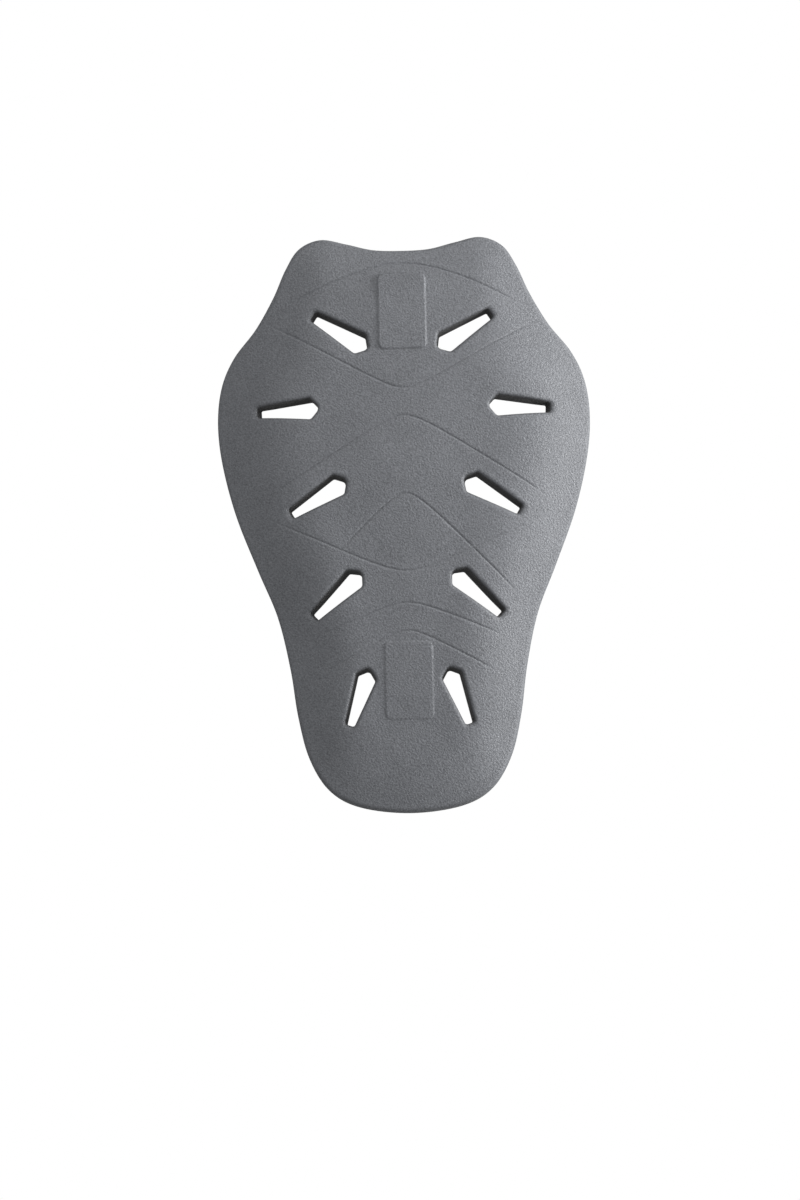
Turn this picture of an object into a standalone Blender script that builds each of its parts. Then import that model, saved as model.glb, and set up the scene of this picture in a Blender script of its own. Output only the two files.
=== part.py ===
# Foam back protector insert: one moulded pad with ten vent slots, lying on its rim, outer face up.
# Frame, in metres: +X across the back, +Y towards the neck, +Z up from the table it lies on.
# The origin is on the table, under the middle of the pad.

import math
from collections import namedtuple

import bmesh
import bpy
from mathutils import Matrix, Vector

# Size and thickness of the pad
PAD_LENGTH = 0.432  # ear tops to waist end
PAD_WIDTH = 0.278  # across the shoulder blades
CORE_THICKNESS = 0.015
EDGE_THICKNESS = 0.0045  # at the rim beside the shoulder blades
EDGE_ROUND = 0.0028  # how far the rounded rim reaches in from the outline
FLANK_WIDTH = 0.048  # beside the shoulder blades the foam thins out over this width
FLANK_BEND = 1.9  # 3 would level the flank out at the rim, 1 would make it steepest there

# Curve of the side that lies on the back, falling away from its highest line
ACROSS_RADIUS = 0.60
ALONG_RADIUS = 2.10
CROWN_FORWARD = 0.040  # the highest point lies this far towards the neck

# Vent slots, measured where they open on the body side: tapered, with a pointed wide end
SLOT_LENGTH = 0.0450
SLOT_NARROW = 0.0056
SLOT_WIDE = 0.0139
SLOT_POINT = 0.0060  # the point beyond the widest place
SLOT_CORNER = 0.0010  # radius of the narrow end's corners in plan
SLOT_SHOULDER = 0.0020  # radius of the wide end's corners in plan
SLOT_TIP = 0.0030  # radius of its point in plan
SLOT_DRAFT = 0.0012  # just below its lip the slot is this much larger all round
SLOT_LIP = 0.0028  # radius of the rounded lip on the outer face
END_FLARE = 0.75  # at the narrow end the lip reaches this share further

# Raised flat seats for hook-and-loop patches
SEAT_WIDTH = 0.0355
SEAT_LENGTH = 0.0570
SEAT_CORNER = 0.0040
SEAT_STEP = 0.0004  # the middle of a seat stands this far proud of the outer face
SEAT_ROOT = 0.0040  # and is rooted this deep in the foam

# Moulded grooves on the outer face
GROOVE_WIDTH = 0.0018
GROOVE_DEPTH = 0.0006
GROOVE_FADE = 0.016  # each groove runs out over this length at both ends

CLEAR = 0.002  # cutters run this far past the foam

# Right half of the outline, from the middle of the neck end round to the middle of the waist end,
# as shares of half the width and half the length
Corner = namedtuple("Corner", "name across along")
OUTLINE = [
    Corner("neck middle", 0.000, 0.952),
    Corner("neck dip", 0.151, 0.957),
    Corner("neck rise", 0.291, 0.980),
    Corner("ear top", 0.431, 0.999),
    Corner("ear corner", 0.549, 0.968),
    Corner("ear side", 0.624, 0.895),
    Corner("under the ear", 0.692, 0.797),
    Corner("shoulder slope", 0.788, 0.691),
    Corner("shoulder", 0.908, 0.594),
    Corner("upper flank", 0.977, 0.493),
    Corner("widest", 1.000, 0.366),
    Corner("lower flank", 0.978, 0.220),
    Corner("below the blade", 0.908, 0.038),
    Corner("taper", 0.797, -0.152),
    Corner("waist", 0.694, -0.319),
    Corner("hip", 0.632, -0.497),
    Corner("lower hip", 0.595, -0.662),
    Corner("tail corner", 0.538, -0.808),
    Corner("tail turn", 0.433, -0.919),
    Corner("tail side", 0.268, -0.978),
    Corner("tail middle", 0.000, -1.000),
]

# How wide and how deep the flanks thin out, as shares of FLANK_WIDTH and of the step from
# CORE_THICKNESS to EDGE_THICKNESS, at shares of half the length
Flank = namedtuple("Flank", "name along width depth")
FLANKS = [
    Flank("neck", 1.00, 0.50, 0.30),
    Flank("ear", 0.80, 0.75, 0.55),
    Flank("shoulder", 0.50, 1.00, 1.00),
    Flank("waist", -0.35, 0.90, 1.00),
    Flank("hip", -0.68, 0.80, 0.75),
    Flank("tail", -0.97, 0.50, 0.25),
]

# Middle of each pair of slots, as shares of half the width and half the length, how far their wide
# ends turn up from the line across the pad, in degrees, and their size as a share of the above
SlotPair = namedtuple("SlotPair", "name across along turn size")
SLOT_PAIRS = [
    SlotPair("neck", 0.331, 0.661, -33.0, 1.02),
    SlotPair("shoulder", 0.621, 0.394, 1.5, 0.97),
    SlotPair("blade", 0.464, 0.088, 30.5, 1.02),
    SlotPair("waist", 0.374, -0.251, 41.8, 1.015),
    SlotPair("tail", 0.267, -0.604, 70.0, 0.94),
]

# Middle of each seat, as a share of half the length
Seat = namedtuple("Seat", "name along")
SEATS = [Seat("upper", 0.730), Seat("lower", -0.552)]

# Grooves: where each crosses the spine, its slope away from the spine (positive climbs towards
# the neck), the radius that rounds its apex and how far it reaches to each side. Places are
# shares of half the length, the radius and the reach shares of half the width.
Groove = namedtuple("Groove", "name along slope apex reach")
GROOVES = [
    Groove("collar", 0.902, -0.57, 0.323, 0.66),
    Groove("yoke", 0.460, 0.58, 0.078, 0.75),
    Groove("upper arch", 0.363, -0.65, 0.091, 0.78),
    Groove("middle arch", 0.091, -1.04, 0.078, 0.62),
    Groove("sling", -0.176, 0.48, 0.124, 0.74),
    Groove("lower arch", -0.286, -0.42, 0.091, 0.53),
    Groove("tail arch", -0.382, -0.55, 0.074, 0.49),
]

# How finely the surfaces are faceted
OUTLINE_STEPS = 3  # facets between two corners of the outline
OUTER_RINGS = 9
INNER_RINGS = 5
RING_GROWTH = 1.8  # above 1, the rings crowd towards the rim
SPINE_INSET = 0.045  # the rings close on a line that stops this far from both ends
RIM_ANGLES = (50, 0, -50)
LIP_ANGLES = (0, 45, 90)
CORNER_STEPS = 2
GROOVE_STEPS = 18

HALF_WIDTH = PAD_WIDTH / 2
HALF_LENGTH = PAD_LENGTH / 2


def clear_scene():
    for obj in list(bpy.data.objects):
        bpy.data.objects.remove(obj)


def catmull_rom(a, b, c, d, t):
    """Point at share t from b to c of a smooth curve through a, b, c and d."""
    return 0.5 * (2 * b + (c - a) * t + (2 * a - 5 * b + 4 * c - d) * t**2 + (3 * b - a - 3 * c + d) * t**3)


def half_outline(steps):
    """The right half of the outline, from the middle of the neck end to the middle of the waist end."""
    corners = [Vector((c.across * HALF_WIDTH, c.along * HALF_LENGTH)) for c in OUTLINE]
    first = Vector((-corners[1].x, corners[1].y))
    last = Vector((-corners[-2].x, corners[-2].y))
    knots = [first, *corners, last]
    points = []
    for k in range(len(corners) - 1):
        points += [catmull_rom(*knots[k : k + 4], step / steps) for step in range(steps)]
    return points + [corners[-1]]


def whole_outline(steps):
    """The closed outline, starting at the middle of the neck end and running over the right side first."""
    half = half_outline(steps)
    return half + [Vector((-p.x, p.y)) for p in reversed(half[1:-1])]


def rim_feet(outline):
    """For each point of the outline, the point beside it where the rounded rim begins."""
    feet = []
    for before, point, after in zip(outline[-1:] + outline[:-1], outline, outline[1:] + outline[:1]):
        along = (after - before).normalized()
        feet.append(point + Vector((along.y, -along.x)) * EDGE_ROUND)
    return feet


def smooth(t):
    """From 0 at 0 to 1 at 1, level at both ends."""
    t = min(1.0, max(0.0, t))
    return t * t * (3 - 2 * t)


EDGE_LINE = half_outline(OUTLINE_STEPS * 2)
EDGE_PARTS = [(a, b - a, (b - a).length_squared) for a, b in zip(EDGE_LINE, EDGE_LINE[1:])]


def edge_distance(x, y):
    """How far a point of the pad lies inside its outline, seen from above."""
    point = Vector((abs(x), y))
    nearest = math.inf
    for start, side, squared in EDGE_PARTS:
        share = min(1.0, max(0.0, (point - start).dot(side) / squared))
        nearest = min(nearest, (start + side * share - point).length_squared)
    return math.sqrt(nearest)


def flank(y):
    """How wide the flanks are at y, and by how much the foam thins out there."""
    along = y / HALF_LENGTH
    width = FLANKS[-1].width
    depth = FLANKS[-1].depth
    for upper, lower in zip(FLANKS, FLANKS[1:]):
        if along > lower.along:
            share = smooth((upper.along - along) / (upper.along - lower.along))
            width = upper.width + (lower.width - upper.width) * share
            depth = upper.depth + (lower.depth - upper.depth) * share
            break
    return FLANK_WIDTH * width, (CORE_THICKNESS - EDGE_THICKNESS) * depth


def fall(x, y):
    """How far the body side has fallen away from its highest point."""
    return x**2 / (2 * ACROSS_RADIUS) + (y - CROWN_FORWARD) ** 2 / (2 * ALONG_RADIUS)


HOLLOW_HEIGHT = max(fall(foot.x, foot.y) for foot in rim_feet(whole_outline(OUTLINE_STEPS)))


def inner_height(x, y):
    return HOLLOW_HEIGHT - fall(x, y)


def outer_height(x, y):
    width, depth = flank(y)
    out = max(0.0, 1 - edge_distance(x, y) / width)
    thinned = depth * out**2 * (FLANK_BEND - (FLANK_BEND - 1) * out)
    return inner_height(x, y) + CORE_THICKNESS - thinned


def outer_slope(x, y):
    """Rise of the outer face along X and along Y."""
    step = 0.001
    rise_x = outer_height(x + step, y) - outer_height(x - step, y)
    rise_y = outer_height(x, y + step) - outer_height(x, y - step)
    return Vector((rise_x, rise_y)) / (2 * step)


def foam_material():
    material = bpy.data.materials.new("grey_foam")
    material.use_nodes = True
    shader = material.node_tree.nodes["Principled BSDF"]
    shader.inputs["Base Color"].default_value = (0.125, 0.130, 0.140, 1)
    shader.inputs["Roughness"].default_value = 0.75
    shader.inputs["Metallic"].default_value = 0.0
    return material


def add_object(name, bm):
    """A closed solid of flat triangles, faces outwards."""
    bmesh.ops.triangulate(bm, faces=bm.faces, quad_method="SHORT_EDGE")
    bmesh.ops.recalc_face_normals(bm, faces=bm.faces)
    mesh = bpy.data.meshes.new(name)
    bm.to_mesh(mesh)
    bm.free()
    obj = bpy.data.objects.new(name, mesh)
    bpy.context.scene.collection.objects.link(obj)
    return obj


def join_rings(bm, one, other):
    """A band of faces between two closed rings of as many vertices."""
    for i in range(len(one)):
        j = (i + 1) % len(one)
        bm.faces.new((one[i], one[j], other[j], other[i]))


def loft(name, rings):
    """A closed solid through closed rings of points."""
    bm = bmesh.new()
    loops = [[bm.verts.new(point) for point in ring] for ring in rings]
    for one, other in zip(loops, loops[1:]):
        join_rings(bm, one, other)
    bm.faces.new(loops[0])
    bm.faces.new(loops[-1])
    return add_object(name, bm)


def rounded(corners, radii, margin):
    """A convex polygon, counter-clockwise, with rounded corners, grown by a margin that depends on the way out."""
    points = []
    for i, (corner, radius) in enumerate(zip(corners, radii)):
        arriving = (corner - corners[i - 1]).normalized()
        leaving = (corners[(i + 1) % len(corners)] - corner).normalized()
        first = Vector((arriving.y, -arriving.x))
        last = Vector((leaving.y, -leaving.x))
        centre = corner - (first + last) * radius / (1 + first.dot(last))
        for step in range(CORNER_STEPS + 1):
            way = first.slerp(last, step / CORNER_STEPS)
            points.append(centre + way * (radius + margin(way)))
    return points


def make_pad():
    """The foam before it is cut: rings over the outer face, round the rim and back below."""
    outline = whole_outline(OUTLINE_STEPS)
    feet = rim_feet(outline)
    count = len(outline)
    from_neck = [min(i, count - i) for i in range(count)]
    steps = count // 2
    top = outline[0].y - SPINE_INSET
    bottom = outline[steps].y + SPINE_INSET
    spine = [Vector((0, top + (bottom - top) * k / steps)) for k in range(steps + 1)]
    bm = bmesh.new()

    def face_ring(share, height):
        flat = [foot.lerp(spine[k], share) for foot, k in zip(feet, from_neck)]
        return [bm.verts.new((p.x, p.y, height(p.x, p.y))) for p in flat]

    def spine_ring(height):
        line = [bm.verts.new((0, p.y, height(0, p.y))) for p in spine]
        return [line[k] for k in from_neck]

    def rim_ring(angle):
        ring = []
        for point, foot in zip(outline, feet):
            low = inner_height(foot.x, foot.y)
            high = outer_height(foot.x, foot.y)
            flat = foot.lerp(point, math.cos(angle))
            height = (low + high) / 2 + (high - low) / 2 * math.sin(angle)
            ring.append(bm.verts.new((flat.x, flat.y, height)))
        return ring

    def shares(rings):
        return [(k / rings) ** RING_GROWTH for k in range(rings)]

    rings = [spine_ring(outer_height)]
    rings += [face_ring(share, outer_height) for share in reversed(shares(OUTER_RINGS))]
    rings += [rim_ring(math.radians(degrees)) for degrees in RIM_ANGLES]
    rings += [face_ring(share, inner_height) for share in shares(INNER_RINGS)]
    rings += [spine_ring(inner_height)]
    for one, other in zip(rings, rings[1:]):
        join_rings(bm, one, other)
    return add_object("foam_pad", bm)


def slot_cutter(pair, side):
    """A slot with a rounded lip, square to the curve across the back; side is 1 on the right, -1 on the left."""
    centre = Vector((side * pair.across * HALF_WIDTH, pair.along * HALF_LENGTH))
    lean = outer_slope(*centre).x
    turn = Matrix.Rotation(math.radians(90 + side * (90 - pair.turn)), 2)
    tail = -SLOT_LENGTH / 2
    widest = SLOT_LENGTH / 2 - SLOT_POINT
    corners = [
        Vector((tail, -SLOT_NARROW / 2)),
        Vector((widest, -SLOT_WIDE / 2)),
        Vector((SLOT_LENGTH / 2, 0)),
        Vector((widest, SLOT_WIDE / 2)),
        Vector((tail, SLOT_NARROW / 2)),
    ]
    radii = [SLOT_CORNER, SLOT_SHOULDER, SLOT_TIP, SLOT_SHOULDER, SLOT_CORNER]

    def ring(draft, lip, level):
        """The slot's outline at a level above the outer face."""
        points = []
        for point in rounded(corners, radii, lambda way: draft + lip * (1 + END_FLARE * max(0.0, -way.x) ** 2)):
            flat = centre + turn @ (point * pair.size)
            points.append((flat.x - lean * level, flat.y, outer_height(flat.x, flat.y) + level))
        return points

    rings = [ring(0, 0, level) for level in (-CORE_THICKNESS - CLEAR, -CORE_THICKNESS)]
    for degrees in LIP_ANGLES:
        angle = math.radians(degrees)
        rings.append(ring(SLOT_DRAFT, SLOT_LIP * (1 - math.cos(angle)), SLOT_LIP * (math.sin(angle) - 1)))
    rings.append(ring(SLOT_DRAFT, SLOT_LIP + CLEAR / 2, CLEAR + SLOT_LENGTH / 5))  # over the crown between its ends
    return loft(f"slot_{pair.name}_{'right' if side > 0 else 'left'}", rings)


def seat_block(seat):
    """A flat-topped block across the spine, square to the outer face and rooted in the foam."""
    y = seat.along * HALF_LENGTH
    tilt = math.atan(outer_slope(0, y).y)
    frame = Matrix.Translation((0, y, outer_height(0, y))) @ Matrix.Rotation(tilt, 4, "X")
    half = Vector((SEAT_WIDTH / 2, SEAT_LENGTH / 2))
    corners = [Vector((half.x * sx, half.y * sy)) for sx, sy in ((-1, -1), (1, -1), (1, 1), (-1, 1))]
    flat = rounded(corners, [SEAT_CORNER] * 4, lambda way: 0.0)
    rings = [[frame @ Vector((p.x, p.y, level)) for p in flat] for level in (-SEAT_ROOT, SEAT_STEP)]
    return loft(f"seat_{seat.name}", rings)


def groove_cutter(groove):
    """A V-shaped bar laid along the groove, half sunk in the foam and rising out of it at both ends."""
    reach = groove.reach * HALF_WIDTH
    apex = groove.apex * HALF_WIDTH

    def place(x):
        climb = groove.slope * (math.hypot(x, apex) - apex)
        return Vector((x, groove.along * HALF_LENGTH + climb))

    rings = []
    for step in range(GROOVE_STEPS + 1):
        x = reach * (2 * step / GROOVE_STEPS - 1)
        point = place(x)
        ahead = (place(x + GROOVE_WIDTH) - place(x - GROOVE_WIDTH)).normalized()
        across = Vector((-ahead.y, ahead.x))
        lift = GROOVE_DEPTH * (1 - smooth((reach - abs(x)) / GROOVE_FADE))
        ring = []
        for side, level in ((-1, GROOVE_DEPTH), (0, -GROOVE_DEPTH), (1, GROOVE_DEPTH)):
            flat = point + across * side * GROOVE_WIDTH
            ring.append((flat.x, flat.y, outer_height(flat.x, flat.y) + level + lift))
        rings.append(ring)
    return loft(f"groove_{groove.name.replace(' ', '_')}", rings)


def apply_tool(pad, tool, operation):
    """Cut or join a tool, which stays in the scene as a wire guide."""
    modifier = pad.modifiers.new(tool.name, "BOOLEAN")
    modifier.object = tool
    modifier.operation = operation
    modifier.solver = "EXACT"
    tool.hide_render = True
    tool.display_type = "WIRE"


def main():
    clear_scene()
    pad = make_pad()
    for seat in SEATS:
        apply_tool(pad, seat_block(seat), "UNION")
    for groove in GROOVES:
        apply_tool(pad, groove_cutter(groove), "DIFFERENCE")
    for pair in SLOT_PAIRS:
        for side in (-1, 1):
            apply_tool(pad, slot_cutter(pair, side), "DIFFERENCE")
    pad.data.materials.append(foam_material())
    pad.data.shade_smooth()
    pad.data.set_sharp_from_angle(angle=math.radians(30))


main()
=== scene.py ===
import math
import bmesh
import bpy
import numpy as np
from mathutils import Matrix, Vector, noise
from mathutils.geometry import delaunay_2d_cdt


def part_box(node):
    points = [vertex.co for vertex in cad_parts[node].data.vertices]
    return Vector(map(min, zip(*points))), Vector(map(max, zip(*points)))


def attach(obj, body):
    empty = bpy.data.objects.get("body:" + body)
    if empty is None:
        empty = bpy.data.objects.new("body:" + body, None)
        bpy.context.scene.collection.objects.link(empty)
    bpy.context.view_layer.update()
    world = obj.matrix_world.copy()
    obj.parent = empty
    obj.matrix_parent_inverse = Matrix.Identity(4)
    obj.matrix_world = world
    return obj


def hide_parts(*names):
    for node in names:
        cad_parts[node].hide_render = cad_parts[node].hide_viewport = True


# A moulded foam back protector insert on a pale floor. Metres, +X across the back, +Y to the neck.

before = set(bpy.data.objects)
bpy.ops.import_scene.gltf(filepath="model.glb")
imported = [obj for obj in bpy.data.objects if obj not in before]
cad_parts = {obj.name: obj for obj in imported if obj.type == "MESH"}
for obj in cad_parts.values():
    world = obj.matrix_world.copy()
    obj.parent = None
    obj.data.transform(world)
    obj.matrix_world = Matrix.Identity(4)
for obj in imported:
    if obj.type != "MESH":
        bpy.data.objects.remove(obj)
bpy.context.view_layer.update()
padLow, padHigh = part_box("foam_pad")
halfWidth = padHigh.x
halfLength = -padLow.y
print("frame loaded, pad is %.0f by %.0f mm" % (2000 * halfWidth, 2000 * halfLength))

# --- the pad's form; places are shares of half its width and half its length

padForm = {
    "core": 0.015,  # thickness in the middle
    "edge": 0.0045,  # thickness at the rim
    "edgeRound": 0.0028,
    "rimHandle": 0.58,  # how far the rim's curve leans on its end slopes
    "rimDroop": 0.15,  # how far the rim's outermost line follows the outer face down
    "flankWidth": 0.046,
    "flankBend": 1.9,
    "flankBlend": 0.0045,  # softens the flank where two stretches of it meet
    "swell": 0.15,  # the foam is a little thicker beside the flank: share of the step from core to edge
    "swellPlace": 1.25,  # its middle and its spread, as shares of the flank's width
    "swellSpread": 0.28,
    "acrossRadius": 0.60,
    "alongRadius": 2.10,
    "crownForward": 0.040,
    "wave": 0.00012,  # height of the slow unevenness of the skin
    "waveSize": 0.045,
    "outline": [
        ("neck middle", 0.000, 0.952),
        ("neck dip", 0.151, 0.957),
        ("neck rise", 0.291, 0.980),
        ("ear top", 0.431, 0.999),
        ("ear corner", 0.549, 0.968),
        ("ear side", 0.624, 0.895),
        ("under the ear", 0.692, 0.797),
        ("shoulder slope", 0.788, 0.691),
        ("shoulder", 0.908, 0.594),
        ("upper flank", 0.977, 0.493),
        ("widest", 1.000, 0.366),
        ("lower flank", 0.978, 0.220),
        ("below the blade", 0.908, 0.038),
        ("taper", 0.797, -0.152),
        ("waist", 0.694, -0.319),
        ("hip", 0.632, -0.497),
        ("lower hip", 0.595, -0.662),
        ("tail corner", 0.538, -0.808),
        ("tail turn", 0.433, -0.919),
        ("tail side", 0.268, -0.978),
        ("tail middle", 0.000, -1.000),
    ],
    # place along the pad, the flank's width there as a share of flankWidth, and its depth
    # as a share of the step from core to edge
    "flanks": [
        (1.00, 0.70, 0.42),
        (0.80, 0.75, 0.52),
        (0.50, 1.00, 1.00),
        (-0.35, 0.86, 1.00),
        (-0.68, 0.76, 0.78),
        (-0.97, 0.45, 0.22),
    ],
}

slotForm = {
    "length": 0.0450,
    "narrow": 0.0056,
    "wide": 0.0139,
    "point": 0.0060,
    "corner": 0.0010,
    "shoulder": 0.0020,
    "tip": 0.0030,
    "draft": 0.0012,
    "lip": 0.0028,
    "endFlare": 0.75,
    "backEdge": 0.0005,  # rounding where a slot opens on the body side
    "step": 0.0011,
    # name, across, along, turn in degrees, size
    "pairs": [
        ("neck", 0.331, 0.661, -33.0, 1.02),
        ("shoulder", 0.621, 0.394, 1.5, 0.97),
        ("blade", 0.464, 0.088, 30.5, 1.02),
        ("waist", 0.374, -0.251, 41.8, 1.015),
        ("tail", 0.267, -0.604, 70.0, 0.94),
    ],
}

seatForm = {
    "width": 0.0355,
    "length": 0.0570,
    "corner": 0.0040,
    "step": 0.0004,
    "wall": 0.0006,  # the step's side spreads over this much
    "along": [0.730, -0.552],
}

grooveForm = {
    "half": 0.0010,  # half the width at the top
    "depth": 0.0006,
    "fade": 0.022,
    # name, along, slope, apex, reach to the right, reach to the left
    "lines": [
        ("collar", 0.902, -0.57, 0.323, 0.66, 0.66),
        ("yoke", 0.460, 0.58, 0.078, 0.75, 0.75),
        ("upper arch", 0.363, -0.65, 0.091, 0.78, 0.78),
        ("middle arch", 0.091, -1.04, 0.078, 0.62, 0.40),
        ("sling", -0.176, 0.48, 0.124, 0.74, 0.74),
        ("lower arch", -0.286, -0.42, 0.091, 0.53, 0.53),
        ("tail arch", -0.382, -0.55, 0.074, 0.49, 0.49),
    ],
}

meshFineness = {
    "outlineSteps": 16,
    "outerSpacing": 0.0025,
    "innerSpacing": 0.0034,
    "grooveSpacing": 0.0013,
    "fieldPitch": 0.0015,
    "fieldMargin": 0.012,
    "crowding": 0.62,  # lattice points keep this share of their spacing from the points before them
    "footClear": 0.0006,
    "mouthClear": 0.0003,
    # lines of points: how far outside a slot's mouth, inside the rim, outside a slot's back,
    # outside a seat's edge, and beside a groove's middle as shares of its half width
    "mouthLines": (0.0006, 0.0014, 0.0025, 0.0042),
    "rimLines": (0.0012, 0.0026, 0.0044),
    "backLines": (0.0009, 0.0022),
    "backRimLines": (0.0014, 0.0032),
    "seatLines": (0.00035, -0.0004, 0, 0.0011, -0.0012),
    "grooveLines": (0, -0.45, 0.45, -0.95, 0.95, -1.8, 1.8),
    "seatSpacing": 0.0013,
    "lipDegrees": (78, 66, 54, 42, 30, 18, 8, 0),
    "wallShares": (0.25, 0.5, 0.75, 1.0),
    "backDegrees": (30, 60),
    "rimShares": (0.2, 0.4, 0.6, 0.8, 1.0),
}


def smoothStep(t):
    t = np.clip(t, 0, 1)
    return t * t * (3 - 2 * t)


def halfOutline(steps):
    # right half, from the middle of the neck end to the middle of the tail
    corners = [Vector((x * halfWidth, y * halfLength)) for _, x, y in padForm["outline"]]
    knots = [Vector((-corners[1].x, corners[1].y))] + corners + [Vector((-corners[-2].x, corners[-2].y))]
    points = []
    for k in range(len(corners) - 1):
        a, b, c, d = knots[k : k + 4]
        for step in range(steps):
            t = step / steps
            bend = (2 * a - 5 * b + 4 * c - d) * t**2 + (3 * b - a - 3 * c + d) * t**3
            points.append(0.5 * (2 * b + (c - a) * t + bend))
    return np.array(points + [corners[-1]])


rightLine = halfOutline(meshFineness["outlineSteps"])
padOutline = np.vstack([rightLine, rightLine[-2:0:-1] * [-1, 1]])


def insetOutline(line, inset):
    # the closed line moved inwards; the line runs clockwise seen from above
    along = np.roll(line, -1, 0) - np.roll(line, 1, 0)
    along /= np.linalg.norm(along, axis=1)[:, None]
    return line + inset * np.stack([along[:, 1], -along[:, 0]], 1)


def edgeDistance(points):
    # distance to the outline, positive inside
    start = rightLine[:-1]
    side = np.diff(rightLine, axis=0)
    squared = (side**2).sum(1)
    found = np.empty(len(points))
    for first in range(0, len(points), 4000):
        chunk = points[first : first + 4000] * 1.0
        chunk[:, 0] = np.abs(chunk[:, 0])
        reach = chunk[:, None, :] - start
        share = np.clip((reach * side).sum(2) / squared, 0, 1)
        gap = ((reach - share[:, :, None] * side) ** 2).sum(2)
        nearest = gap.argmin(1)
        rows = np.arange(len(chunk))
        offset = reach[rows, nearest]
        inside = side[nearest, 0] * offset[:, 1] - side[nearest, 1] * offset[:, 0] < 0
        found[first : first + 4000] = np.sqrt(gap[rows, nearest]) * np.where(inside, 1, -1)
    return found


def flankShares(y):
    # width and depth of the flanks at each y, as shares
    along = y / halfLength
    table = padForm["flanks"]
    width = np.where(along > 0, table[0][1], table[-1][1])
    depth = np.where(along > 0, table[0][2], table[-1][2])
    for upper, lower in zip(table, table[1:]):
        share = smoothStep((upper[0] - along) / (upper[0] - lower[0]))
        here = (along <= upper[0]) & (along > lower[0])
        width = np.where(here, upper[1] + (lower[1] - upper[1]) * share, width)
        depth = np.where(here, upper[2] + (lower[2] - upper[2]) * share, depth)
    return width, depth


def makeThinning():
    # how far the foam has thinned out, on a fine grid, softened a little
    pitch = meshFineness["fieldPitch"]
    margin = meshFineness["fieldMargin"]
    xs = np.arange(-halfWidth - margin, halfWidth + margin + pitch, pitch)
    ys = np.arange(-halfLength - margin, halfLength + margin + pitch, pitch)
    gridX, gridY = np.meshgrid(xs, ys)
    points = np.stack([gridX.ravel(), gridY.ravel()], 1)
    width, depth = flankShares(points[:, 1])
    reach = edgeDistance(points) / (padForm["flankWidth"] * width)
    out = np.maximum(0, 1 - reach)
    bend = padForm["flankBend"]
    beside = (reach - padForm["swellPlace"]) / padForm["swellSpread"]
    swell = padForm["swell"] * np.exp(-0.5 * beside**2)
    field = (depth * (out**2 * (bend - (bend - 1) * out) - swell)).reshape(gridX.shape)
    spread = padForm["flankBlend"] / pitch
    tail = int(3 * spread)
    weights = np.exp(-0.5 * (np.arange(-tail, tail + 1) / spread) ** 2)
    weights /= weights.sum()
    for axis in (0, 1):
        pads = [(tail, tail) if k == axis else (0, 0) for k in (0, 1)]
        wide = np.pad(field, pads, mode="reflect", reflect_type="odd")
        places = np.arange(field.shape[axis])
        field = sum(w * np.take(wide, places + k, axis) for k, w in enumerate(weights))
    return xs[0], ys[0], pitch, field


thinning = makeThinning()
print("flank field ready")


def readField(points, field):
    left, low, pitch, values = field
    u = np.clip((points[:, 0] - left) / pitch, 0, values.shape[1] - 1.001)
    v = np.clip((points[:, 1] - low) / pitch, 0, values.shape[0] - 1.001)
    i = u.astype(int)
    j = v.astype(int)
    u -= i
    v -= j
    lower = values[j, i] * (1 - u) + values[j, i + 1] * u
    upper = values[j + 1, i] * (1 - u) + values[j + 1, i + 1] * u
    return lower * (1 - v) + upper * v


def fall(points):
    across = points[:, 0] ** 2 / (2 * padForm["acrossRadius"])
    along = (points[:, 1] - padForm["crownForward"]) ** 2 / (2 * padForm["alongRadius"])
    return across + along


outlineFeet = insetOutline(padOutline, padForm["edgeRound"])
hollowHeight = fall(outlineFeet).max()


def innerHeight(points):
    return hollowHeight - fall(points)


def bareHeight(points):
    thinned = readField(points, thinning)
    return innerHeight(points) + padForm["core"] - (padForm["core"] - padForm["edge"]) * thinned


def slope(points, height):
    # rise along X and along Y
    step = np.array([0.001, 0]), np.array([0, 0.001])
    return np.stack([(height(points + s) - height(points - s)) / 0.002 for s in step], 1)


def roundedBoxInside(x, y, halfX, halfY, corner):
    # distance into a rectangle with rounded corners, positive inside
    overX = np.abs(x) - (halfX - corner)
    overY = np.abs(y) - (halfY - corner)
    outside = np.hypot(np.maximum(overX, 0), np.maximum(overY, 0))
    return corner - outside - np.minimum(np.maximum(overX, overY), 0)


def grooveOffset(points, line):
    # sideways distance from a groove's line
    _, along, climb, apex, _, _ = line
    apex = apex * halfWidth
    run = np.hypot(points[:, 0], apex)
    centre = along * halfLength + climb * (run - apex)
    steep = climb * points[:, 0] / run
    return (points[:, 1] - centre) / np.sqrt(1 + steep**2)


def grooveRelief(points):
    relief = np.zeros(len(points))
    for line in grooveForm["lines"]:
        offset = np.abs(grooveOffset(points, line)) / grooveForm["half"]
        reach = np.where(points[:, 0] > 0, line[4], line[5]) * halfWidth
        fade = smoothStep((reach - np.abs(points[:, 0])) / grooveForm["fade"])
        relief = np.minimum(relief, -grooveForm["depth"] * fade * (1 - smoothStep(offset)))
    return relief


def waves(points):
    size = padForm["waveSize"]
    values = [noise.noise(Vector((x / size, y / size, 0.3))) for x, y in points.tolist()]
    return padForm["wave"] * np.array(values)


def outerHeight(points):
    height = bareHeight(points) + waves(points) + grooveRelief(points)
    for along in seatForm["along"]:
        middle = np.array([[0, along * halfLength]])
        tilt = slope(middle, bareHeight)[0, 1]
        y = points[:, 1] - middle[0, 1]
        plane = bareHeight(middle)[0] + seatForm["step"] + tilt * y
        half = seatForm["width"] / 2, seatForm["length"] / 2
        inside = roundedBoxInside(points[:, 0], y, *half, seatForm["corner"])
        share = smoothStep(0.5 + inside / seatForm["wall"])
        height += (plane - height) * share
    return height


# --- slots

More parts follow.
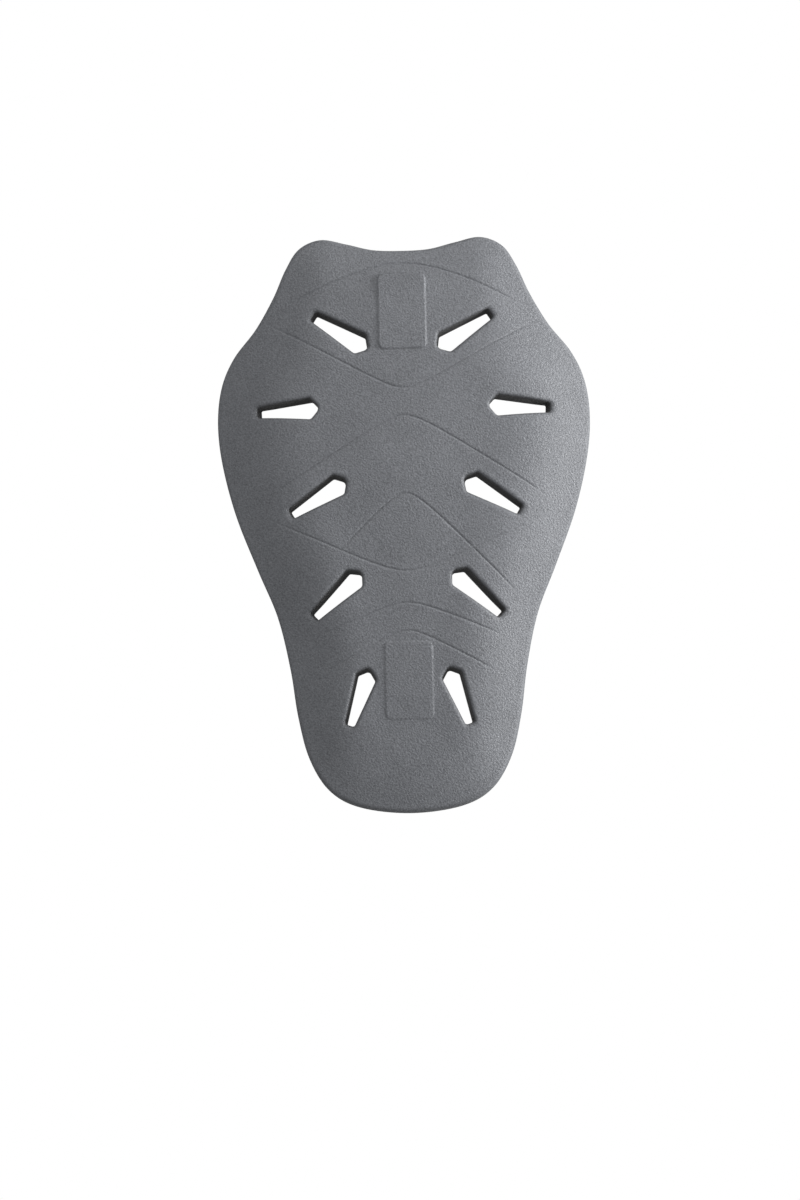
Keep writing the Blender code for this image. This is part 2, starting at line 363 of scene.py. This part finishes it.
def slotProfile(size):
    # points round a slot's outline with the way outwards at each, wide end at +X
    length = slotForm["length"] / 2
    widest = length - slotForm["point"]
    corners = [
        Vector((-length, -slotForm["narrow"] / 2)),
        Vector((widest, -slotForm["wide"] / 2)),
        Vector((length, 0)),
        Vector((widest, slotForm["wide"] / 2)),
        Vector((-length, slotForm["narrow"] / 2)),
    ]
    narrow, wide, tip = slotForm["corner"], slotForm["shoulder"], slotForm["tip"]
    radii = [narrow, wide, tip, wide, narrow]
    points = []
    ways = []
    for i, (corner, radius) in enumerate(zip(corners, radii)):
        arriving = (corner - corners[i - 1]).normalized()
        leaving = (corners[(i + 1) % 5] - corner).normalized()
        first = Vector((arriving.y, -arriving.x))
        last = Vector((leaving.y, -leaving.x))
        centre = corner - (first + last) * radius / (1 + first.dot(last))
        steps = max(2, round(first.angle(last) * (radius + slotForm["lip"]) / slotForm["step"]))
        for step in range(steps + 1):
            way = first.slerp(last, step / steps)
            ways.append(way)
            points.append((centre + way * radius) * size)
        if i < 4:
            after = corners[i + 1]
            nextRadius = radii[i + 1]
            turn = leaving.angle((corners[(i + 2) % 5] - after).normalized())
            end = (after - leaving * nextRadius * math.tan(turn / 2)) * size
        else:
            turn = leaving.angle((corners[1] - corners[0]).normalized())
            end = (corners[0] - leaving * radii[0] * math.tan(turn / 2)) * size
        start = points[-1]
        count = max(1, round((end - start).length / slotForm["step"]))
        for step in range(1, count):
            points.append(start.lerp(end, step / count))
            ways.append(last)
    return np.array(points), np.array(ways)


def placeSlot(pair, side):
    name, across, along, turn, size = pair
    points, ways = slotProfile(size)
    angle = math.radians(90 + side * (90 - turn))
    spin = np.array([[math.cos(angle), math.sin(angle)], [-math.sin(angle), math.cos(angle)]])
    centre = np.array([side * across * halfWidth, along * halfLength])
    lean = slope(centre[None], bareHeight)[0, 0]
    flare = 1 + slotForm["endFlare"] * np.maximum(0, -ways[:, 0]) ** 2
    plan = points @ spin + centre
    return {"name": name, "size": size, "points": plan, "ways": ways @ spin, "flare": flare, "lean": lean}


slots = [placeSlot(pair, side) for pair in slotForm["pairs"] for side in (-1, 1)]


def slotPlan(slot, draft, lip, extra=0.0):
    # the slot's outline from above; the lip reaches further at the narrow end
    return slot["points"] + slot["ways"] * (slot["size"] * (draft + lip * slot["flare"]) + extra)[:, None]


def slotMouth(slot, extra=0.0):
    return slotPlan(slot, slotForm["draft"], slotForm["lip"], extra)


def slotPoints(slot, draft, lip, level):
    # one ring of a slot at a level below the outer face
    flat = slotPlan(slot, draft, lip)
    z = outerHeight(flat) + level
    return np.stack([flat[:, 0] - slot["lean"] * level, flat[:, 1], z], 1)


def slotBack(slot, extra):
    # where the slot meets the body side, seen from above; it is wider where the foam is thin
    flat = slotPlan(slot, 0, 0)
    thick = bareHeight(flat) - innerHeight(flat)
    deep = padForm["core"] - slotForm["lip"]
    draft = slotForm["draft"] * np.clip((padForm["core"] - thick) / deep, 0, 1)
    flat = slot["points"] + slot["ways"] * (draft * slot["size"] + extra)[:, None]
    return np.stack([flat[:, 0] + slot["lean"] * thick, flat[:, 1]], 1)


def outsideSlot(points, ring):
    # how far outside a slot's convex outline each point lies, never more than the real distance
    side = np.roll(ring, -1, 0) - ring
    side /= np.linalg.norm(side, axis=1)[:, None]
    reach = points[:, None, :] - ring
    return (reach[:, :, 0] * side[:, 1] - reach[:, :, 1] * side[:, 0]).max(1)


# --- the mesh

class Sieve:
    # keeps points that stand clear of the points kept before
    def __init__(self, cell):
        self.cell = cell
        self.cells = {}
        self.kept = []

    def offer(self, points, clear):
        for x, y in points.tolist():
            i = math.floor(x / self.cell)
            j = math.floor(y / self.cell)
            near = [p for a in (i - 1, i, i + 1) for b in (j - 1, j, j + 1) for p in self.cells.get((a, b), ())]
            if all((x - p[0]) ** 2 + (y - p[1]) ** 2 >= clear**2 for p in near):
                self.cells.setdefault((i, j), []).append((x, y))
                self.kept.append((x, y))


def lattice(spacing):
    rows = np.arange(-halfLength, halfLength, spacing * math.sqrt(0.75))
    line = np.arange(-halfWidth, halfWidth, spacing)
    points = [np.stack([line + (k % 2) * spacing / 2, np.full(len(line), y)], 1) for k, y in enumerate(rows)]
    return np.vstack(points)


def grooveStrip(line):
    _, along, climb, apex, right, left = line
    apex = apex * halfWidth
    length = (left + right) * halfWidth * math.hypot(1, climb)
    steps = int(length / meshFineness["grooveSpacing"])
    x = np.linspace(-left * halfWidth, right * halfWidth, steps)
    run = np.hypot(x, apex)
    steep = climb * x / run
    way = np.stack([-steep, np.ones(steps)], 1) / np.sqrt(1 + steep**2)[:, None]
    centre = np.stack([x, along * halfLength + climb * (run - apex)], 1)
    half = grooveForm["half"]
    return [centre + way * offset * half for offset in meshFineness["grooveLines"]]


def seatRings(along):
    # points along a seat's edge, on both sides of its step
    rings = []
    for offset in meshFineness["seatLines"]:
        halfX = seatForm["width"] / 2 + offset
        halfY = seatForm["length"] / 2 + offset
        corner = seatForm["corner"] + offset
        ring = []
        for k in range(4):
            angle = k * math.pi / 2
            centre = Vector((halfX - corner, halfY - corner))
            centre = Vector((centre.x * (1 if k in (0, 3) else -1), centre.y * (1 if k in (0, 1) else -1)))
            for step in range(6):
                turn = angle + step * math.pi / 10
                ring.append(centre + Vector((math.cos(turn), math.sin(turn))) * corner)
        dense = []
        for a, b in zip(ring, ring[1:] + ring[:1]):
            count = max(1, round((b - a).length / meshFineness["seatSpacing"]))
            dense += [a.lerp(b, step / count) for step in range(count)]
        rings.append(np.array(dense) + [0, along * halfLength])
    return rings


def fillFace(loops, loose):
    # triangles between closed loops of plan points; all loops after the first are holes
    points = np.vstack(loops + [loose])
    edges = []
    owner = np.full(len(points), -1)
    first = 0
    for k, loop in enumerate(loops):
        count = len(loop)
        edges += [(first + i, first + (i + 1) % count) for i in range(count)]
        owner[first : first + count] = k
        first += count
    result = delaunay_2d_cdt([Vector(p) for p in points.tolist()], edges, [], 1, 1e-7)
    origin = [source[0] for source in result[3]]
    faces = np.array([[origin[v] for v in face] for face in result[2]])
    held = owner[faces]
    inHole = (held[:, 0] > 0) & (held[:, 0] == held[:, 1]) & (held[:, 1] == held[:, 2])
    return points, faces[~inHole]


def outerFacePlan():
    mouths = [slotMouth(slot) for slot in slots]
    sieve = Sieve(0.004)
    for loop in [outlineFeet] + mouths:
        sieve.offer(loop, 0)
    fixed = len(sieve.kept)
    for extra in meshFineness["mouthLines"]:
        for slot in slots:
            sieve.offer(slotMouth(slot, extra), 0.0005)
    for inset in meshFineness["rimLines"]:
        sieve.offer(insetOutline(padOutline, padForm["edgeRound"] + inset), 0.0009)
    for along in seatForm["along"]:
        for ring in seatRings(along):
            sieve.offer(ring, 0.0004)
    for line in grooveForm["lines"]:
        for strip in grooveStrip(line):
            sieve.offer(strip, 0.00038)
    spacing = meshFineness["outerSpacing"]
    sieve.offer(lattice(spacing), spacing * meshFineness["crowding"])
    loose = np.array(sieve.kept[fixed:])
    clear = edgeDistance(loose) > padForm["edgeRound"] + meshFineness["footClear"]
    for mouth in mouths:
        clear &= outsideSlot(loose, mouth) > meshFineness["mouthClear"]
    return [outlineFeet] + mouths, loose[clear]


def innerFacePlan():
    backs = [slotBack(slot, slotForm["backEdge"]) for slot in slots]
    sieve = Sieve(0.005)
    for loop in [outlineFeet] + backs:
        sieve.offer(loop, 0)
    fixed = len(sieve.kept)
    for inset in meshFineness["backRimLines"]:
        sieve.offer(insetOutline(padOutline, padForm["edgeRound"] + inset), 0.0011)
    for extra in meshFineness["backLines"]:
        for slot in slots:
            sieve.offer(slotBack(slot, slotForm["backEdge"] + extra), 0.0009)
    spacing = meshFineness["innerSpacing"]
    sieve.offer(lattice(spacing), spacing * meshFineness["crowding"])
    loose = np.array(sieve.kept[fixed:])
    clear = edgeDistance(loose) > padForm["edgeRound"] + meshFineness["footClear"]
    for back in backs:
        clear &= outsideSlot(loose, back) > meshFineness["mouthClear"]
    return [outlineFeet] + backs, loose[clear]


def bezier(start, startWay, endWay, end, t):
    a = (1 - t) ** 3 * start
    b = 3 * t * (1 - t) ** 2 * startWay
    c = 3 * t**2 * (1 - t) * endWay
    return a + b + c + t**3 * end


class PadMesh:
    def __init__(self):
        self.points = []
        # painted shade: per point, how far the skin colour is pulled to near black; 1 on the slot walls, 0 on
        # the open skin
        self.paintedWallShade = []  # 1 on the walls of the slots, 0 on the open skin
        self.faces = []
        self.count = 0

    def add(self, points, wall=0.0):
        # wall is the painted-shade weight of these points
        self.points.append(points)
        self.paintedWallShade.append(np.full(len(points), wall))
        self.count += len(points)
        return np.arange(self.count - len(points), self.count)

    def band(self, one, other):
        self.faces += np.stack([one, np.roll(one, -1), np.roll(other, -1), other], 1).tolist()

    def bands(self, rings):
        for one, other in zip(rings, rings[1:]):
            self.band(one, other)


def loopStarts(loops):
    starts = np.cumsum([0] + [len(loop) for loop in loops])
    return [np.arange(a, b) for a, b in zip(starts, starts[1:])]


def addRim(mesh, outerRing, innerRing):
    # rounded from the outer face's slope to the body side's
    reach = padForm["edgeRound"]
    inward = insetOutline(padOutline, reach + 0.001)
    high = outerHeight(outlineFeet)
    low = innerHeight(outlineFeet)
    outerDrop = (outerHeight(inward) - high) / 0.001
    innerDrop = (innerHeight(inward) - low) / 0.001
    handle = padForm["rimHandle"]
    zero = np.zeros(len(high))
    middle = (high + low) / 2 - padForm["rimDroop"] * reach * outerDrop
    upTop = high - handle * reach * outerDrop
    downLow = low - handle * reach * innerDrop

    def ring(out, z):
        plan = outlineFeet + (padOutline - outlineFeet) * (out / reach)[:, None]
        return mesh.add(np.column_stack([plan, z]))

    rings = [outerRing]
    shares = meshFineness["rimShares"]
    for t in shares:
        out = bezier(zero, zero + handle * reach, zero + reach, zero + reach, t)
        rings.append(ring(out, bezier(high, upTop, middle + handle * (upTop - middle), middle, t)))
    for t in shares[:-1]:
        out = bezier(zero + reach, zero + reach, zero + handle * reach, zero, t)
        rings.append(ring(out, bezier(middle, middle + handle * (downLow - middle), downLow, low, t)))
    mesh.bands(rings + [innerRing])


def addSlot(mesh, slot, mouth, back):
    # a rounded lip, a straight wall and a small rounding on the body side
    lip = slotForm["lip"]
    edge = slotForm["backEdge"]
    rings = [mouth]
    # each ring carries a painted-shade weight: it rises down the lip, is full on the wall and fades over the
    # body side's rounding
    for degrees in meshFineness["lipDegrees"]:
        angle = math.radians(degrees)
        level = lip * (math.sin(angle) - 1)
        around = slotPoints(slot, slotForm["draft"], lip * (1 - math.cos(angle)), level)
        rings.append(mesh.add(around, (1 - degrees / 90) ** 2))
    top = mesh.points[-1]
    foot = slotBack(slot, 0)
    bottom = np.column_stack([foot, innerHeight(foot) + edge])
    for share in meshFineness["wallShares"]:
        rings.append(mesh.add(top + (bottom - top) * share, 1.0))
    for degrees in meshFineness["backDegrees"]:
        angle = math.radians(degrees)
        foot = slotBack(slot, edge * (1 - math.cos(angle)))
        around = np.column_stack([foot, innerHeight(foot) + edge * (1 - math.sin(angle))])
        rings.append(mesh.add(around, 1 - degrees / 90))
    mesh.bands(rings + [back])


def addFace(mesh, plan, height, label):
    # one of the two broad faces; returns the vertices of its closed loops, the rim's first
    loops, loose = plan
    points, faces = fillFace(loops, loose)
    print("%s: %d triangles" % (label, len(faces)))
    ids = mesh.add(np.column_stack([points, height(points)]))
    mesh.faces += ids[faces].tolist()
    return [ids[loop] for loop in loopStarts(loops)]


def makePadObject():
    mesh = PadMesh()
    outerRing, *mouths = addFace(mesh, outerFacePlan(), outerHeight, "outer face")
    innerRing, *backs = addFace(mesh, innerFacePlan(), innerHeight, "body side")
    addRim(mesh, outerRing, innerRing)
    for slot, mouth, back in zip(slots, mouths, backs):
        addSlot(mesh, slot, mouth, back)

    data = bpy.data.meshes.new("padSkin")
    data.from_pydata(np.vstack(mesh.points).tolist(), [], mesh.faces)
    bm = bmesh.new()
    bm.from_mesh(data)
    bmesh.ops.recalc_face_normals(bm, faces=bm.faces)
    bm.to_mesh(data)
    bm.free()
    data.shade_smooth()
    # the wall attribute holds the painted shade of the slot walls
    data.attributes.new("wall", "FLOAT", "POINT").data.foreach_set("value", np.concatenate(mesh.paintedWallShade))
    pad = bpy.data.objects.new("moulded_pad", data)
    bpy.context.scene.collection.objects.link(pad)
    return pad


# --- finishes

class Level:
    # wraps a number's socket, so that maths on it reads as maths
    def __init__(self, finish, socket):
        self.finish = finish
        self.socket = socket

    def join(self, operation, a, b):
        return self.finish.node("ShaderNodeMath", {"operation": operation}, {0: a, 1: b}).level(0)

    def __add__(self, other):
        return self.join("ADD", self, other)

    __radd__ = __add__

    def __mul__(self, other):
        return self.join("MULTIPLY", self, other)

    __rmul__ = __mul__

    def __sub__(self, other):
        return self.join("SUBTRACT", self, other)

    def __rsub__(self, other):
        return self.join("SUBTRACT", other, self)


class Made:
    # a node that was added, with its outputs at hand
    def __init__(self, finish, added):
        self.finish = finish
        self.added = added

    def level(self, output):
        return Level(self.finish, self.added.outputs[output])


class Finish:
    def __init__(self, name):
        self.material = bpy.data.materials.new(name)
        self.material.use_nodes = True
        self.tree = self.material.node_tree
        self.shader = self.tree.nodes["Principled BSDF"]

    def node(self, kind, settings, values):
        added = self.tree.nodes.new(kind)
        for name, value in settings.items():
            setattr(added, name, value)
        for name, value in values.items():
            self.feed(added.inputs[name], value)
        return Made(self, added)

    def feed(self, socket, value):
        if isinstance(value, Level):
            self.tree.links.new(value.socket, socket)
        else:
            socket.default_value = value


foamLook = {
    "dark": (0.090, 0.094, 0.103, 1),
    "light": (0.218, 0.226, 0.244, 1),
    # wall: painted shade, the near-black colour painted on the slots' walls
    "wall": (0.008, 0.008, 0.009, 1),
    "grainSize": 720,
    "grainShare": 1.55,
    "pebbleSize": 620,
    "pebbleShare": 0.25,
    "mottleSize": 30,
    "mottleShare": 0.40,
    "roughness": 0.50,
    "roughnessSpread": 0.12,
    "bump": 0.8,
    "bumpHeight": 0.00050,
    "sheen": 0.15,
    "sheenRoughness": 0.5,
}


def makeFoam():
    foam = Finish("mouldedFoam")
    place = foam.node("ShaderNodeTexCoord", {}, {}).level("Object")
    grain = foam.node("ShaderNodeTexNoise", {}, {
        "Vector": place, "Scale": foamLook["grainSize"], "Detail": 2.5, "Roughness": 0.6,
    }).level("Fac") - 0.5
    pebble = foam.node("ShaderNodeTexVoronoi", {"feature": "SMOOTH_F1"}, {
        "Vector": place, "Scale": foamLook["pebbleSize"], "Smoothness": 0.6,
    }).level("Distance") - 0.5
    mottle = foam.node("ShaderNodeTexNoise", {}, {
        "Vector": place, "Scale": foamLook["mottleSize"], "Detail": 4.0, "Roughness": 0.55,
    }).level("Fac") - 0.5
    fine = foamLook["grainShare"] * grain + foamLook["pebbleShare"] * pebble
    shade = 0.5 + fine + foamLook["mottleShare"] * mottle
    skin = foam.node("ShaderNodeMix", {"data_type": "RGBA"}, {
        "Factor": shade, 6: foamLook["dark"], 7: foamLook["light"],
    }).level(2)
    # painted shade: the wall attribute blends the colour of the slot walls towards near black
    wall = foam.node("ShaderNodeAttribute", {"attribute_name": "wall"}, {}).level("Fac")
    skinWithPaintedShade = foam.node("ShaderNodeMix", {"data_type": "RGBA"}, {
        "Factor": wall, 6: skin, 7: foamLook["wall"],
    }).level(2)
    foam.feed(foam.shader.inputs["Base Color"], skinWithPaintedShade)
    rough = foamLook["roughness"] + foamLook["roughnessSpread"] * grain
    foam.feed(foam.shader.inputs["Roughness"], rough)
    bump = foam.node("ShaderNodeBump", {}, {
        "Strength": foamLook["bump"], "Distance": foamLook["bumpHeight"], "Height": fine,
    }).level("Normal")
    foam.feed(foam.shader.inputs["Normal"], bump)
    foam.shader.inputs["Sheen Weight"].default_value = foamLook["sheen"]
    foam.shader.inputs["Sheen Roughness"].default_value = foamLook["sheenRoughness"]
    return foam.material


pad = makePadObject()
pad.data.materials.append(makeFoam())
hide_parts("foam_pad")
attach(pad, "root")
print("pad ready: %d faces" % len(pad.data.polygons))

# --- floor, light and camera

studio = {
    "floorSize": 30.0,
    "floorGlow": 1.0,
    "sky": 0.42,
    "ground": 0.12,
    "distance": 1.6,
    "panelSize": (1.3, 0.8),
    # name, degrees from +X towards +Y, degrees above the floor, power
    "panels": [
        ("sidePanel", 0, 18, 22.0),
        ("lowPanel", 18, 8, 20.0),
        ("neckPanel", 90, 45, 7.5),
    ],
}


def makeFloor():
    side = studio["floorSize"] / 2
    data = bpy.data.meshes.new("floor")
    corners = [(-side, -side, 0), (side, -side, 0), (side, side, 0), (-side, side, 0)]
    data.from_pydata(corners, [], [(0, 1, 2, 3)])
    floor = bpy.data.objects.new("floor", data)
    bpy.context.scene.collection.objects.link(floor)
    paper = Finish("palePaper")
    paper.shader.inputs["Base Color"].default_value = (0.0, 0.0, 0.0, 1)
    paper.shader.inputs["Roughness"].default_value = 1.0
    paper.shader.inputs["Specular IOR Level"].default_value = 0.0
    paper.shader.inputs["Emission Color"].default_value = (1.0, 1.0, 1.0, 1)
    paper.shader.inputs["Emission Strength"].default_value = studio["floorGlow"]
    data.materials.append(paper.material)
    floor.visible_diffuse = False
    floor.visible_glossy = False
    floor.visible_shadow = False


def addPanel(name, turn, rise, power):
    # a soft panel that faces the pad
    data = bpy.data.lights.new(name, "AREA")
    data.shape = "RECTANGLE"
    data.size, data.size_y = studio["panelSize"]
    data.energy = power
    lamp = bpy.data.objects.new(name, data)
    turn = math.radians(turn)
    rise = math.radians(rise)
    way = Vector((math.cos(rise) * math.cos(turn), math.cos(rise) * math.sin(turn), math.sin(rise)))
    lamp.location = way * studio["distance"]
    lamp.rotation_euler = way.to_track_quat("Z", "Y").to_euler()
    bpy.context.scene.collection.objects.link(lamp)


def makeSky():
    world = bpy.data.worlds.new("studioSky")
    world.use_nodes = True
    bpy.context.scene.world = world
    tree = world.node_tree
    place = tree.nodes.new("ShaderNodeTexCoord")
    split = tree.nodes.new("ShaderNodeSeparateXYZ")
    ramp = tree.nodes.new("ShaderNodeMapRange")
    ramp.inputs["From Min"].default_value = -0.05
    ramp.inputs["From Max"].default_value = 0.05
    ramp.inputs["To Min"].default_value = studio["ground"]
    ramp.inputs["To Max"].default_value = studio["sky"]
    back = tree.nodes["Background"]
    back.inputs["Color"].default_value = (1, 1, 1, 1)
    tree.links.new(place.outputs["Generated"], split.inputs[0])
    tree.links.new(split.outputs["Z"], ramp.inputs["Value"])
    tree.links.new(ramp.outputs["Result"], back.inputs["Strength"])


makeFloor()
makeSky()
for panel in studio["panels"]:
    addPanel(*panel)
print("studio ready")

photoView = {
    "rise": 82,  # degrees above the floor
    "roll": 1.15,
    "lens": 161.68,
    "frameHeight": 36,
    "place": (-0.0056, -0.6142, 3.9730),
}

cameraData = bpy.data.cameras.new("photoCamera")
cameraData.sensor_fit = "VERTICAL"
cameraData.sensor_height = photoView["frameHeight"]
cameraData.lens = photoView["lens"]
camera = bpy.data.objects.new("photoCamera", cameraData)
bpy.context.scene.collection.objects.link(camera)
pitch = Matrix.Rotation(math.radians(90 - photoView["rise"]), 4, "X")
roll = Matrix.Rotation(math.radians(-photoView["roll"]), 4, "Z")
camera.matrix_world = Matrix.Translation(photoView["place"]) @ pitch @ roll
bpy.context.scene.camera = camera
bpy.context.scene.view_settings.view_transform = "Standard"
print("camera ready")
